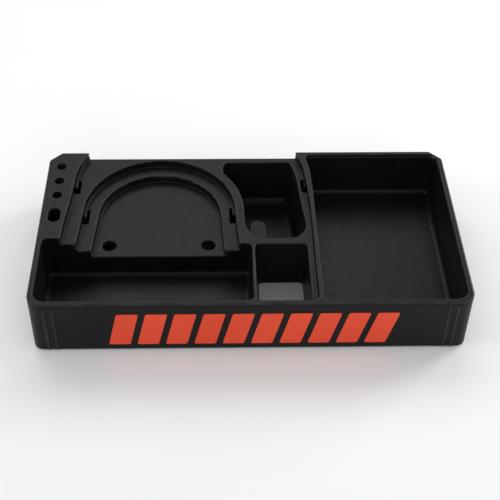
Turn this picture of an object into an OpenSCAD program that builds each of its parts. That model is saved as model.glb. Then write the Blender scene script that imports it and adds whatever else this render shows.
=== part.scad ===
// Ladder-top tray for a paint can, hand tools, a drill and loose hardware.
// Millimetres. Origin at the centre of the underside, +X to the user's right,
// +Y away from the user, +Z up. The front wall, with its badge, faces -Y.

/* [Tray] */
// Overall width of the tray, side wall to side wall
tray_w = 380; // [370:1:390]
// Overall depth, front wall to back wall
tray_d = 198; // [194:1:202]
// Height of the rim above the underside
tray_h = 60; // [58:1:64]
// Moulded wall and floor thickness
wall = 3; // [2.6:0.1:3.4]
// Thickness of the side walls
side_wall = 4; // [3.6:0.1:4.4]
// Radius of the front vertical corners
front_corner_r = 12; // [10:1:16]
// Chamfer across the back corners
back_chamfer = 11; // [6:1:14]
// How far each side wall leans in from the rim to the foot
side_draft = 0.5; // [0.2:0.1:2]
// Radius of the foot of each side wall
foot_r = 3.5; // [2.5:0.5:5]

/* [Can seat] */
// Centre of the can seat across the tray
seat_x = -82.6; // [-84:0.1:-80]
// Centre of the can seat from front to back
seat_y = 26; // [24:0.5:28]
// Radius that takes a quart can
quart_r = 57.1; // [56:0.1:58]
// Radius that takes a half-gallon can
half_gallon_r = 70.3; // [69:0.1:71]
// Radius of the outer edge beside the middle pocket
ring_outer_r = 78.7; // [78:0.1:79]
// How far each leg of the seat's U opens out towards the front
leg_flare = 3.2; // [2.8:0.1:3.6]
// Height of one step of the seat
step_h = 8; // [7:0.5:8.5]
// Radius of the drain holes in the seat floor
drain_r = 6.5; // [4:0.5:7]

/* [Pockets] */
// Height of the hardware bin's floor
hardware_floor = 14; // [13:0.5:18]
// Height of the middle pocket's floor
pocket_floor = 2.5; // [2:0.5:4]
// Height of the drill bin's floor
drill_floor = 12; // [12:0.5:14]
// Back wall of the hardware bin
bin_back_y = -18.6; // [-20:0.2:-18]
// Corner radius inside the hardware bin
bin_r = 6; // [3:1:8]
// Corner radius inside the bins at the outer front corners
bin_front_r = 11; // [8:1:12]

/* [Tool holes] */
// Radius of the screwdriver holes
tool_hole_r = 4.5; // [3.5:0.5:5]
// Length of the screwdriver holes
tool_hole_len = 10; // [8:1:12]
// Skin left above the window of each strap slot
strap_skin = 2; // [1.6:0.1:2.4]

/* [Slide bolts] */
// Centre line of both slide bolts from front to back
bolt_y = 10; // [9:0.5:11]
// Width of each slide bolt
bolt_w = 26; // [22:1:26]
// How far each bolt stands out of the side wall
bolt_reach = 12; // [10:1:14]
// Radius of the spring rod
rod_r = 1.25; // [1.1:0.05:1.3]
// Mean radius of the spring
spring_r = 1.95; // [1.9:0.05:2]
// Turns in each spring
spring_turns = 10; // [8:1:11]

/* [Badge] */
// Number of slanted blocks in the front badge
badge_count = 10; // [8:1:11]
// Lower edge of the badge
badge_z0 = 8; // [6:1:12]
// Upper edge of the badge
badge_z1 = 47; // [40:1:50]
// Thickness of each block
badge_t = 1.2; // [1:0.1:1.4]

/* [Hidden] */
$fn = 64;
over = 1;        // overshoot of cuts
join = 0.01;     // overlap of joined shapes
tall = 60;       // height of shapes that run up past what they trim
low = 20;        // the same, for shapes that start near the rim
half_w = tray_w / 2;
half_d = tray_d / 2;

// levels of the seat's steps, from the deck at the rim down to the floor
step1_z = tray_h - step_h;
step2_z = tray_h - 2 * step_h;
seat_z = tray_h - 3 * step_h;

black = [0.13, 0.13, 0.14];
orange = [0.85, 0.2, 0.1];
steel = [0.68, 0.69, 0.7];
magnet_grey = [0.25, 0.25, 0.27];
rubber_black = [0.08, 0.08, 0.08];

// ---------- helpers ----------
module box2(x0, y0, x1, y1) translate([x0, y0]) square([x1 - x0, y1 - y0]);

module rrect(x0, y0, x1, y1, r) {
    box2(x0 + r, y0, x1 - r, y1);
    box2(x0, y0 + r, x1, y1 - r);
    for (x = [x0 + r, x1 - r], y = [y0 + r, y1 - r]) translate([x, y]) circle(r);
}

module slab(z, h) translate([0, 0, z]) linear_extrude(h) children();
module post(at, z, r, h) translate([at[0], at[1], z]) cylinder(r = r, h = h);
module left() mirror([1, 0, 0]) children();
module both_sides() {
    children();
    left() children();
}

// ---------- plan shapes ----------
bin_front_y = -half_d + 4.6;   // front of the hardware bin and the hammer shaft
deck_front_x = -169.2;         // right edge of the tool deck at its front end
ridge_x = 57.6;                // left side of the drill bin's wall
// edge between the tool deck and the first step, front to back: x, y
deck_edge = [
    [-166.2, 21], [-163.6, 50], [-162.4, 69],
    [-159.7, 83], [-157.4, 90], [-152, half_d + over]];
// edge between the first step and the drill bin's wall, back to front: x, y
ridge_edge = [
    [47.6, half_d + over], [50, 92], [52.3, 84.5],
    [54, 76.5], [55.3, 58], [57.3, 33]];
// middle pocket, clockwise from above: x, y, then the x and y shift
// for each millimetre the outline grows
pocket_edge = [
    [-23, 60, -1, 0], [-23, 88, -1, 0.6], [-17.5, 93.2, -0.4, 0.8],
    [37, 93.2, 0.4, 0.8], [42.4, 88.5, 1, 0.5], [45.2, 82, 1, 0],
    [47.8, 65, 1, 0], [49.4, 40, 1, 0], [52.7, 11, 1, 0],
    [52.7, 2, 1, -0.4], [47.6, -7.4, 0.7, -0.7], [38, -12.6, 0.4, -1],
    [10.3, -12.6, -0.4, -1], [3.1, -6.6, -0.8, -0.7], [-1.2, 0.3, -0.9, -0.4],
    [-3.5, 8, -1, 0], [-4.3, 30, -1, 0], [-30, 30, 0, 0]];
// bulge of the drill bin towards the pocket at its back left: x, y
drill_bulge = [
    [62, 50], [61.1, 50], [60.2, 74], [57.6, 89],
    [58.6, half_d - 5.6], [61, half_d - 4], [70, half_d - 4]];

// outer plan, pulled in by side_in at the sides and end_in at front and back
module outline(side_in, end_in) {
    r = front_corner_r - end_in;
    chamfer = back_chamfer + 0.414 * (side_in + end_in) / 2;
    x = half_w - side_in;
    y = half_d - end_in;
    polygon([[-x, -y + r], [x, -y + r], [x, y - chamfer],
        [x - chamfer, y], [-x + chamfer, y], [-x, y - chamfer]]);
    translate([-x + r, -y]) square([2 * x - 2 * r, r + over]);
    for (s = [-1, 1]) translate([s * (x - r), -y + r]) circle(r);
}

// bin plan with its own radius at each front corner and bin_r at the back
module bin_plan(x0, y0, x1, y1, left_r, right_r) {
    box2(x0 + left_r, y0, x1 - right_r, y1 - bin_r);
    box2(x0, y0 + left_r, x0 + left_r, y1 - bin_r);
    box2(x1 - right_r, y0 + right_r, x1, y1 - bin_r);
    box2(x0 + bin_r, y1 - bin_r - join, x1 - bin_r, y1);
    translate([x0 + left_r, y0 + left_r]) circle(left_r);
    translate([x1 - right_r, y0 + right_r]) circle(right_r);
    for (x = [x0 + bin_r, x1 - bin_r]) translate([x, y1 - bin_r]) circle(bin_r);
}

// U-shaped seat: flared legs in front, round at the back
module u_seat(r) {
    leg_start = 5;   // the legs start this far behind the centre
    back_half = r - leg_flare * leg_start / (seat_y - bin_back_y);
    front_half = r + leg_flare;
    leg_y = seat_y + leg_start;
    front_y = bin_back_y - over;
    translate([seat_x, seat_y]) circle(r, $fn = 96);
    polygon([[seat_x - back_half, leg_y], [seat_x - front_half, bin_back_y],
        [seat_x - front_half, front_y], [seat_x + front_half, front_y],
        [seat_x + front_half, bin_back_y], [seat_x + back_half, leg_y]]);
}

// tool deck, less an inset along its front and right edges
module deck_plan(inset) polygon(concat(
    [[-half_w - over, bin_back_y + inset], [deck_front_x - inset, bin_back_y + inset]],
    [for (p = deck_edge) [p[0] - inset, p[1]]],
    [[-half_w - over, half_d + over]]));

// everything cut down to the first step
module lowered_plan() {
    polygon(concat([[deck_front_x, bin_back_y - over]], deck_edge,
        ridge_edge, [[ridge_x, bin_back_y - over]]));
    box2(2, bin_front_y, ridge_x, bin_back_y);
}

module pocket_plan(grow = 0) difference() {
    polygon([for (p = pocket_edge) [p[0] + grow * p[2], p[1] + grow * p[3]]]);
    translate([seat_x, seat_y]) circle(ring_outer_r - grow, $fn = 96);
}

// round-ended finger shelf in the pocket's front left corner
shelf_x = 8.4;
shelf_r = 7.2;
shelf_z = 48;
module shelf_plan() {
    translate([shelf_x, 9]) circle(shelf_r);
    box2(shelf_x - shelf_r, -14, shelf_x + shelf_r, 9);
}

// ---------- fittings the body is shaped around ----------
bolt_z0 = 4.5;
bolt_z1 = 7.5;
rod_z = 6.5;
bolt_inner_x = half_w - 58;
abutment_x = half_w - 86;      // inner face of the wall that stops the spring
abutment_t = 3;
keeper_x = half_w - 25;
keeper_z0 = 2.4;
keeper_z1 = 4.4;
boss_offset = 20;              // keeper screws, either side of bolt_y
keeper_shank_r = 1.4;
cover_shank_r = 1.1;
cover_z = 4;
cover_t = 2;
cover_screws_at = [for (x = [-158, -7], y = [-82, -48]) [x, y]];
feet_at = [[-172, -80], [172, -80], [-150, 84], [172, 80]];
foot_t = 2;
foot_stem_r = 2;

// ---------- tray body ----------
tool_holes_at = [for (y = [38.5, 58.5, 79]) [-177.7, y]];

// outer plan crossed with the side-to-side section
module outer_shell() intersection() {
    linear_extrude(tray_h) outline(-0.3, 0);
    foot_x = half_w - side_draft - foot_r;
    translate([0, half_d + over, 0]) rotate([90, 0, 0]) linear_extrude(tray_d + 2 * over) {
        polygon([[-half_w + side_draft, foot_r], [half_w - side_draft, foot_r],
            [half_w, tray_h], [-half_w, tray_h]]);
        box2(-foot_x, 0, foot_x, foot_r + join);
        for (s = [-1, 1]) translate([s * foot_x, foot_r]) circle(foot_r);
    }
}

module top_cuts() {
    // hardware bin
    slab(hardware_floor, tray_h)
        bin_plan(-185, bin_front_y, 2.5, bin_back_y, bin_front_r, bin_r);
    // stepped can seat
    slab(step1_z, low) lowered_plan();
    slab(step2_z, low) u_seat(half_gallon_r);
    slab(seat_z, low) u_seat(quart_r);
    // middle pocket
    difference() {
        slab(pocket_floor, tray_h) pocket_plan();
        linear_extrude(shelf_z) shelf_plan();
    }
    // drill bin
    slab(drill_floor, tray_h) {
        bin_plan(61.3, -half_d + 4, half_w - 5.5, half_d - 4, bin_r, bin_front_r);
        polygon(drill_bulge);
    }
}

// hollow below one step of the seat
module step_hollow(z) slab(z - wall - join, step_h + join) children();
// region behind the hardware bin's back wall, from the left side
module behind_bin(w) translate([-half_w, bin_back_y + wall, 0]) cube([w, tray_d, tall]);

module seat_hollow() {
    intersection() {
        slab(-over, seat_z - wall + over) outline(side_wall, wall);
        translate([-half_w, bin_back_y + wall - join, -over]) cube([half_w, tray_d, tall]);
    }
    intersection() {
        step_hollow(seat_z) difference() {
            outline(side_wall, wall);
            u_seat(quart_r + wall);
        }
        behind_bin(half_w);
    }
    intersection() {
        step_hollow(step2_z) difference() {
            outline(side_wall, wall);
            u_seat(half_gallon_r + wall);
        }
        union() {
            behind_bin(half_w + seat_x);
            translate([-70, 76, 0]) cube([42, tray_d, tall]);
        }
    }
    intersection() {
        step_hollow(step1_z) intersection() {
            outline(side_wall, wall);
            deck_plan(wall);
        }
        behind_bin(60);
    }
}

module under_cuts() {
    // under the hardware bin
    intersection() {
        slab(-over, hardware_floor - wall + over) outline(side_wall, wall + 1);
        translate([-half_w, -half_d, -over]) cube([half_w - 0.5, half_d + bin_back_y + wall, 40]);
    }
    // under the can seat, leaving walls round the middle pocket
    difference() {
        seat_hollow();
        slab(-2 * over, tray_h) pocket_plan(wall);
    }
    // under the drill bin
    intersection() {
        slab(-over, drill_floor - wall + over) outline(side_wall, wall + 1);
        translate([57, -half_d, -over]) cube([half_w, tray_d, 40]);
    }
    // core between the middle pocket and the drill bin
    translate([55.4, -half_d + 5, -over]) cube([3, 156, step1_z - wall + over]);
    // core of the finger shelf
    translate([shelf_x - 4, -9.4, -over]) cube([8, 19, shelf_z - wall + over]);
}

// rib 3 thick and 36 long beside or above the right bolt
module bolt_rib(offset_y, z)
    translate([half_w - 38, bolt_y + offset_y - 1.5, z]) cube([36, 3, tall]);

// material left in the hollow to carry the right slide bolt
module bolt_carrier() {
    for (t = [-1, 1]) {
        bolt_rib(t * (bolt_w / 2 + 1.8), keeper_z1);
        bolt_rib(t * 7, bolt_z1 + 0.1);
        post([keeper_x, bolt_y + t * boss_offset], keeper_z1, 4.2, tall);
    }
    translate([abutment_x, bolt_y - 10, 3]) cube([abutment_t, 20, tall]);
}

// slot, screw pilots and rod hole for the right slide bolt
module bolt_openings() {
    gap = 0.4;
    translate([half_w - 7, bolt_y - bolt_w / 2 - gap, bolt_z0 - gap])
        cube([10, bolt_w + 2 * gap, bolt_z1 - bolt_z0 + 2 * gap]);
    for (t = [-1, 1])
        post([keeper_x, bolt_y + t * boss_offset], keeper_z1 - over, keeper_shank_r, 7.2);
    translate([abutment_x + abutment_t / 2 - 5, bolt_y, rod_z]) rotate([0, 90, 0])
        cylinder(r = rod_r + 0.1, h = 10, $fn = 32);
}

module kept_inside() {
    both_sides() bolt_carrier();
    // posts for the rubber feet and the magnet cover
    for (p = feet_at) post(p, foot_t, 7.5, tall);
    for (p = cover_screws_at) post(p, cover_z + cover_t, 3.6, low);
    // low fences that locate the magnets: x, thickness
    for (f = [[-154, 2], [-84.5, 2.5], [-14, 2]])
        translate([f[0], -79, 7.5]) cube([f[1], 28, low]);
    // stiffening ribs under the seat and along the deck
    rib_t = 2;
    rib_z = 20;
    for (x = [-145, -112, -82, -53, -24])
        translate([x - rib_t / 2, bin_back_y, rib_z]) cube([rib_t, tray_d, tall]);
    for (y = [44, 74])
        translate([-half_w, y - rib_t / 2, rib_z]) cube([half_w, rib_t, tall]);
    // collars round the screwdriver holes
    for (p = tool_holes_at) post(p, tray_h - tool_hole_len, tool_hole_r + 2, low);
}

// a slit x0..x1, y0..y1 up from bottom_z, and a window that widens it to
// window_x, as far back as window_y, under the skin of the upper step
module strap_slot(x0, x1, window_x, y0, window_y, y1, bottom_z, upper_z) {
    window_x0 = min(x0 + 0.5, window_x);
    window_x1 = max(x1 - 0.5, window_x);
    translate([x0, y0, bottom_z]) cube([x1 - x0, y1 - y0, 30]);
    translate([window_x0, y0, bottom_z])
        cube([window_x1 - window_x0, window_y - y0, upper_z - strap_skin - bottom_z]);
}

module strap_slots() {
    below1 = step1_z - wall;
    below2 = step2_z - wall;
    strap_slot(-161, -158.2, -168.5, 48.5, 57.5, 67, below1 - over, tray_h);
    strap_slot(-150.9, -148.1, -158, 15.3, 25.4, 35, below2 - over, step1_z);
    strap_slot(-17.1, -14.6, -10.8, 15.7, 27.5, 36, below2 - over, step1_z);
    strap_slot(51.2, 54.2, 57, 48.8, 58.3, 67, below1 - 5, tray_h);
}

module deck_holes() {
    for (p = tool_holes_at) post(p, tray_h - tool_hole_len - over, tool_hole_r, low);
    // oblong tool hole
    oblong_x = -177.6;
    oblong_r = 5.5;
    slab(tray_h - wall - over, 10) {
        box2(oblong_x - oblong_r, 8, oblong_x + oblong_r, 15);
        for (y = [8, 15]) translate([oblong_x, y]) circle(oblong_r);
    }
}

module tray_body() color(black) difference() {
    outer_shell();
    top_cuts();
    difference() {
        under_cuts();
        kept_inside();
    }
    deck_holes();
    // hammer shaft, open at the bottom
    slab(-over, tray_h + 2 * over) rrect(5, bin_front_y, 52.2, -19.5, 4);
    // drain holes in the seat floor
    for (s = [-1, 1]) post([seat_x + s * 45.5, -5], seat_z - wall - over, drain_r, 10);
    strap_slots();
    both_sides() bolt_openings();
    // sockets for the rubber feet
    for (p = feet_at) post(p, 0, foot_stem_r, 7);
    // pilot holes for the magnet cover
    for (p = cover_screws_at) post(p, 0, cover_shank_r, 12);
    // seats for the badge blocks
    badge_blocks(clearance = 0.05, proud = over);
}

// ---------- badge ----------
badge_w = 248;       // lower edge, with the gap after the last block
badge_gap = 6;
badge_slant = 9;
badge_pitch = badge_w / badge_count;

// blocks set into the front wall, grown by a clearance
module badge_blocks(clearance = 0, proud = 0) {
    z0 = badge_z0 - clearance;
    z1 = badge_z1 + clearance;
    for (i = [0 : badge_count - 1]) {
        x0 = -badge_w / 2 + i * badge_pitch - clearance;
        x1 = x0 + badge_pitch - badge_gap + 2 * clearance;
        translate([0, -half_d + badge_t + clearance, 0]) rotate([90, 0, 0])
            linear_extrude(badge_t + clearance + proud)
                polygon([[x0, z0], [x1, z0], [x1 + badge_slant, z1], [x0 + badge_slant, z1]]);
    }
}
module front_badge() color(orange) badge_blocks();

// ---------- hardware magnets ----------
// two bars on the cover, under the bin's floor: x, length
module bin_magnets() color(magnet_grey) {
    z = cover_z + cover_t;
    for (m = [[-151.5, 66.5], [-81.5, 67]])
        translate([m[0], -75, z]) cube([m[1], 20, hardware_floor - wall - z]);
}

module magnet_cover() color(steel) difference() {
    slab(cover_z, cover_t) rrect(-164, -88, -2, -42, 4);
    for (p = cover_screws_at) post(p, 0, 1.7, 10);
    for (x = [-118, -48]) post([x, -65], 0, 4, 10);
}

// pan head screw pointing up: head under z = 0, shank above
module screw(head_r, head_h, shank_r, length) {
    edge_r = 0.7;
    tip_h = 0.6;
    slot_w = 0.7;
    translate([0, 0, -head_h]) difference() {
        rotate_extrude() {
            box2(0, 0.5, head_r, head_h);
            box2(0, 0, head_r - edge_r, 0.6);
            intersection() {
                translate([head_r - edge_r, edge_r]) circle(edge_r, $fn = 24);
                box2(0, 0, head_r, 2);
            }
        }
        // cross recess
        for (a = [0, 90]) rotate(a)
            translate([-head_r * 0.55, -slot_w / 2, -0.1]) cube([head_r * 1.1, slot_w, 1]);
    }
    translate([0, 0, -join]) cylinder(r = shank_r, h = length - tip_h);
    translate([0, 0, length - tip_h - 2 * join])
        cylinder(r1 = shank_r, r2 = shank_r * 0.4, h = tip_h);
}

module magnet_cover_screws() color(steel)
    for (p = cover_screws_at) translate([p[0], p[1], cover_z])
        screw(head_r = 2.8, head_h = 1.6, shank_r = cover_shank_r, length = 6.5);

// ---------- slide bolts, drawn on the right and mirrored to the left ----------
bolt_nose_r = 5;
bolt_end_l = 10;      // length of the thicker inner end
rod_socket = 8;       // depth of the rod's hole in the bolt
rod_l = 40;
rod_tip = 0.6;
peg_x = bolt_inner_x + bolt_end_l / 2;
peg_offset = 8;       // finger pull pegs, either side of bolt_y
peg_r = 1.6;

module bolt() difference() {
    union() {
        // tongue with rounded corners at its tip
        tip_x = half_w + bolt_reach;
        corner_y = bolt_w / 2 - bolt_nose_r;
        translate([0, bolt_y, bolt_z0]) linear_extrude(bolt_z1 - bolt_z0) {
            box2(bolt_inner_x, -bolt_w / 2, tip_x - bolt_nose_r, bolt_w / 2);
            box2(bolt_inner_x, -corner_y, tip_x, corner_y);
            for (t = [-1, 1]) translate([tip_x - bolt_nose_r, t * corner_y]) circle(bolt_nose_r);
        }
        // thicker inner end that takes the rod and the finger pull
        translate([bolt_inner_x, bolt_y - bolt_w / 2, bolt_z0]) cube([bolt_end_l, bolt_w, 4.1]);
    }
    translate([bolt_inner_x - over, bolt_y, rod_z]) rotate([0, 90, 0])
        cylinder(r = rod_r, h = rod_socket + over, $fn = 32);
    for (t = [-1, 1]) translate([peg_x, bolt_y + t * peg_offset, bolt_z0 - over])
        cylinder(r = peg_r, h = 4.7, $fn = 32);
}

module spring_rod()
    translate([bolt_inner_x + rod_socket, bolt_y, rod_z]) rotate([0, -90, 0]) {
        cylinder(r = rod_r, h = rod_l - rod_tip, $fn = 32);
        translate([0, 0, rod_l - rod_tip])
            cylinder(r1 = rod_r, r2 = rod_r * 0.5, h = rod_tip, $fn = 32);
    }

// open coil with one closed turn at each end: a round wire swept along a helix
wire_r = 0.28;
wire_sides = 6;
coil_steps = 14;                   // wire sections in one turn
closed_pitch = 2 * wire_r * 1.05;
spring_x0 = abutment_x + abutment_t + wire_r + 0.02;
spring_l = bolt_inner_x - wire_r - 0.02 - spring_x0;
last_ring = spring_turns * coil_steps;

// distance along the spring after a number of turns
function coil_advance(turn) =
    turn < 1 ? turn * closed_pitch :
    turn > spring_turns - 1 ? spring_l - (spring_turns - turn) * closed_pitch :
    closed_pitch + (turn - 1) / (spring_turns - 2) * (spring_l - 2 * closed_pitch);
function coil_point(i, j) = let (
    turn = i / coil_steps,
    around_coil = 360 * turn,
    around_wire = 360 * j / wire_sides,
    r = spring_r + wire_r * cos(around_wire))
    [spring_x0 + coil_advance(turn) + wire_r * sin(around_wire),
     r * cos(around_coil), r * sin(around_coil)];

module spring() translate([0, bolt_y, rod_z]) polyhedron(
    points = [for (i = [0 : last_ring], j = [0 : wire_sides - 1]) coil_point(i, j)],
    faces = concat(
        [[for (j = [0 : wire_sides - 1]) j]],
        [for (i = [0 : last_ring - 1], j = [0 : wire_sides - 1])
            let (k = (j + 1) % wire_sides, ring = i * wire_sides, next = ring + wire_sides)
            [ring + j, next + j, next + k, ring + k]],
        [[for (j = [0 : wire_sides - 1]) last_ring * wire_sides + wire_sides - 1 - j]]));

module finger_pull() difference() {
    union() {
        slab(0.6, bolt_z0 - 0.6)
            rrect(bolt_inner_x + 0.5, bolt_y - 11, bolt_inner_x + 9.5, bolt_y + 11, 2);
        for (t = [-1, 1]) translate([peg_x, bolt_y + t * peg_offset, bolt_z0 - join])
            cylinder(r = peg_r, h = 3.6, $fn = 32);
    }
    // grip grooves
    for (x = [2.4, 4.6, 6.8])
        translate([bolt_inner_x + x, bolt_y - 9, 0]) cube([0.9, 18, 1.6]);
}

// plate under the bolt, with a screw hole at each end and an oblong opening
module keeper() difference() {
    half_l = boss_offset + 6;
    slab(keeper_z0, keeper_z1 - keeper_z0)
        rrect(keeper_x - 10, bolt_y - half_l, keeper_x + 10, bolt_y + half_l, 4);
    for (t = [-1, 1]) translate([keeper_x, bolt_y + t * boss_offset, 0])
        cylinder(r = 1.8, h = 10, $fn = 32);
    translate([keeper_x, bolt_y, 0]) linear_extrude(10) {
        box2(-4, -8, 4, 8);
        for (t = [-1, 1]) translate([0, t * 8]) circle(4, $fn = 32);
    }
}

module keeper_screws()
    for (t = [-1, 1]) translate([keeper_x, bolt_y + t * boss_offset, keeper_z0])
        screw(head_r = 3.1, head_h = 1.8, shank_r = keeper_shank_r, length = 7.4);

module right_bolt() color(steel) bolt();
module left_bolt() color(steel) left() bolt();
module right_spring_rod() color(steel) spring_rod();
module left_spring_rod() color(steel) left() spring_rod();
module right_spring() color(steel) spring();
module left_spring() color(steel) left() spring();
module right_finger_pull() color(orange) finger_pull();
module left_finger_pull() color(orange) left() finger_pull();
module right_keeper() color(steel) keeper();
module left_keeper() color(steel) left() keeper();
module right_keeper_screws() color(steel) keeper_screws();
module left_keeper_screws() color(steel) left() keeper_screws();

// ---------- rubber feet ----------
// grooved pads, each with a stem up into the body
module rubber_feet() color(rubber_black) for (p = feet_at) translate([p[0], p[1], 0]) {
    difference() {
        cylinder(r = 7, h = foot_t);
        for (r = [2.4, 4.6]) translate([0, 0, -over]) difference() {
            cylinder(r = r + 0.5, h = over + 0.5);
            cylinder(r = r, h = over + 0.5);
        }
    }
    cylinder(r = foot_stem_r, h = 6.5);
}

tray_body();
front_badge();
bin_magnets();
magnet_cover();
magnet_cover_screws();
left_bolt();
right_bolt();
left_spring_rod();
right_spring_rod();
left_spring();
right_spring();
left_finger_pull();
right_finger_pull();
left_keeper();
right_keeper();
left_keeper_screws();
right_keeper_screws();
rubber_feet();
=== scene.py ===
import math
import bpy
import numpy as np
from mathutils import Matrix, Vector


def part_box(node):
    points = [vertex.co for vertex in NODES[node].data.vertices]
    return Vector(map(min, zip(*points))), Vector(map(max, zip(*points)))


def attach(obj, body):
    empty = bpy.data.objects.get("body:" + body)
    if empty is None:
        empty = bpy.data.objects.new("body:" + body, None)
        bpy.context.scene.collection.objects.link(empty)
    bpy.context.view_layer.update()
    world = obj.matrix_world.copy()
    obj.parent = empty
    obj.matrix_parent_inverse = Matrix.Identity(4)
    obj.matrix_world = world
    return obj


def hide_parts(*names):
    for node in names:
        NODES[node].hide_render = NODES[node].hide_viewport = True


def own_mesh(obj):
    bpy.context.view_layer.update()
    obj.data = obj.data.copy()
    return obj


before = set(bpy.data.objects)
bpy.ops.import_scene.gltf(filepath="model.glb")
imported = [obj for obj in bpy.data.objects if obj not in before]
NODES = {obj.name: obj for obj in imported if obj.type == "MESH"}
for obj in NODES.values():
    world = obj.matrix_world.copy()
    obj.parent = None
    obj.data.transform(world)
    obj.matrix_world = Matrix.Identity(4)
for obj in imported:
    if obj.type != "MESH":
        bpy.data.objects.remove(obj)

try:
    import openvdb as vdb
except Exception:
    vdb = None

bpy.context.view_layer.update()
F = np.float32

# ------------------------------------------------------------------ distance fields
# Every moulded or pressed piece is written as a rounded distance field in millimetres,
# then turned into a closed mesh whose normals come from the field itself.


def rmax(a, b, r):
    if r <= 0:
        return np.maximum(a, b)
    u = np.maximum(a + F(r), 0)
    v = np.maximum(b + F(r), 0)
    return np.minimum(np.maximum(a, b), F(-r)) + np.sqrt(u * u + v * v)


def rmin(a, b, r):
    return -rmax(-a, -b, r)


def fillet(pts, r):
    """Polygon with its corners rounded; r is one radius or one per corner."""
    pts = [np.array(p, float) for p in pts]
    n = len(pts)
    rr = r if isinstance(r, (list, tuple)) else [r] * n
    out = []
    for i in range(n):
        p, a, b = pts[i], pts[i - 1], pts[(i + 1) % n]
        u, v = a - p, b - p
        lu, lv = np.linalg.norm(u), np.linalg.norm(v)
        u, v = u / lu, v / lv
        c = float(np.clip(u @ v, -1, 1))
        ang = math.acos(c)
        if rr[i] <= 0 or ang > math.pi - 0.02:
            out.append(p)
            continue
        t = min(rr[i] / math.tan(ang / 2), lu * 0.49, lv * 0.49)
        rad = t * math.tan(ang / 2)
        s, e = p + u * t, p + v * t
        bis = (u + v) / np.linalg.norm(u + v)
        ctr = p + bis * rad / math.sin(ang / 2)
        a0 = math.atan2(*(s - ctr)[::-1])
        a1 = math.atan2(*(e - ctr)[::-1])
        d = (a1 - a0 + math.pi) % (2 * math.pi) - math.pi
        k = max(3, int(abs(d) * 8) + 1)
        for j in range(k + 1):
            w = a0 + d * j / k
            out.append(ctr + rad * np.array([math.cos(w), math.sin(w)]))
    return out


def sd_poly(pts, x, y):
    d = np.full((x.shape[0], y.shape[1]), 1e9)
    s = np.ones_like(d)
    x = x.astype(float)
    y = y.astype(float)
    n = len(pts)
    for i in range(n):
        a, b = pts[i], pts[i - 1]
        ex, ey = b[0] - a[0], b[1] - a[1]
        L = ex * ex + ey * ey
        if L < 1e-12:
            continue
        wx, wy = x - a[0], y - a[1]
        t = np.clip((wx * ex + wy * ey) / L, 0, 1)
        dx, dy = wx - ex * t, wy - ey * t
        d = np.minimum(d, dx * dx + dy * dy)
        c1, c2, c3 = y >= a[1], y < b[1], ex * wy > ey * wx
        s = np.where((c1 & c2 & c3) | (~c1 & ~c2 & ~c3), -s, s)
    return (s * np.sqrt(d)).astype(F)


def sd_rect(x, y, x0, y0, x1, y1, r=0.0):
    qx = np.abs(x - F((x0 + x1) / 2)) - F((x1 - x0) / 2 - r)
    qy = np.abs(y - F((y0 + y1) / 2)) - F((y1 - y0) / 2 - r)
    return (np.sqrt(np.maximum(qx, 0) ** 2 + np.maximum(qy, 0) ** 2)
            + np.minimum(np.maximum(qx, qy), 0) - F(r))


def slab(z, z0, z1):
    return np.maximum(F(z0) - z, z - F(z1))


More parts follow.
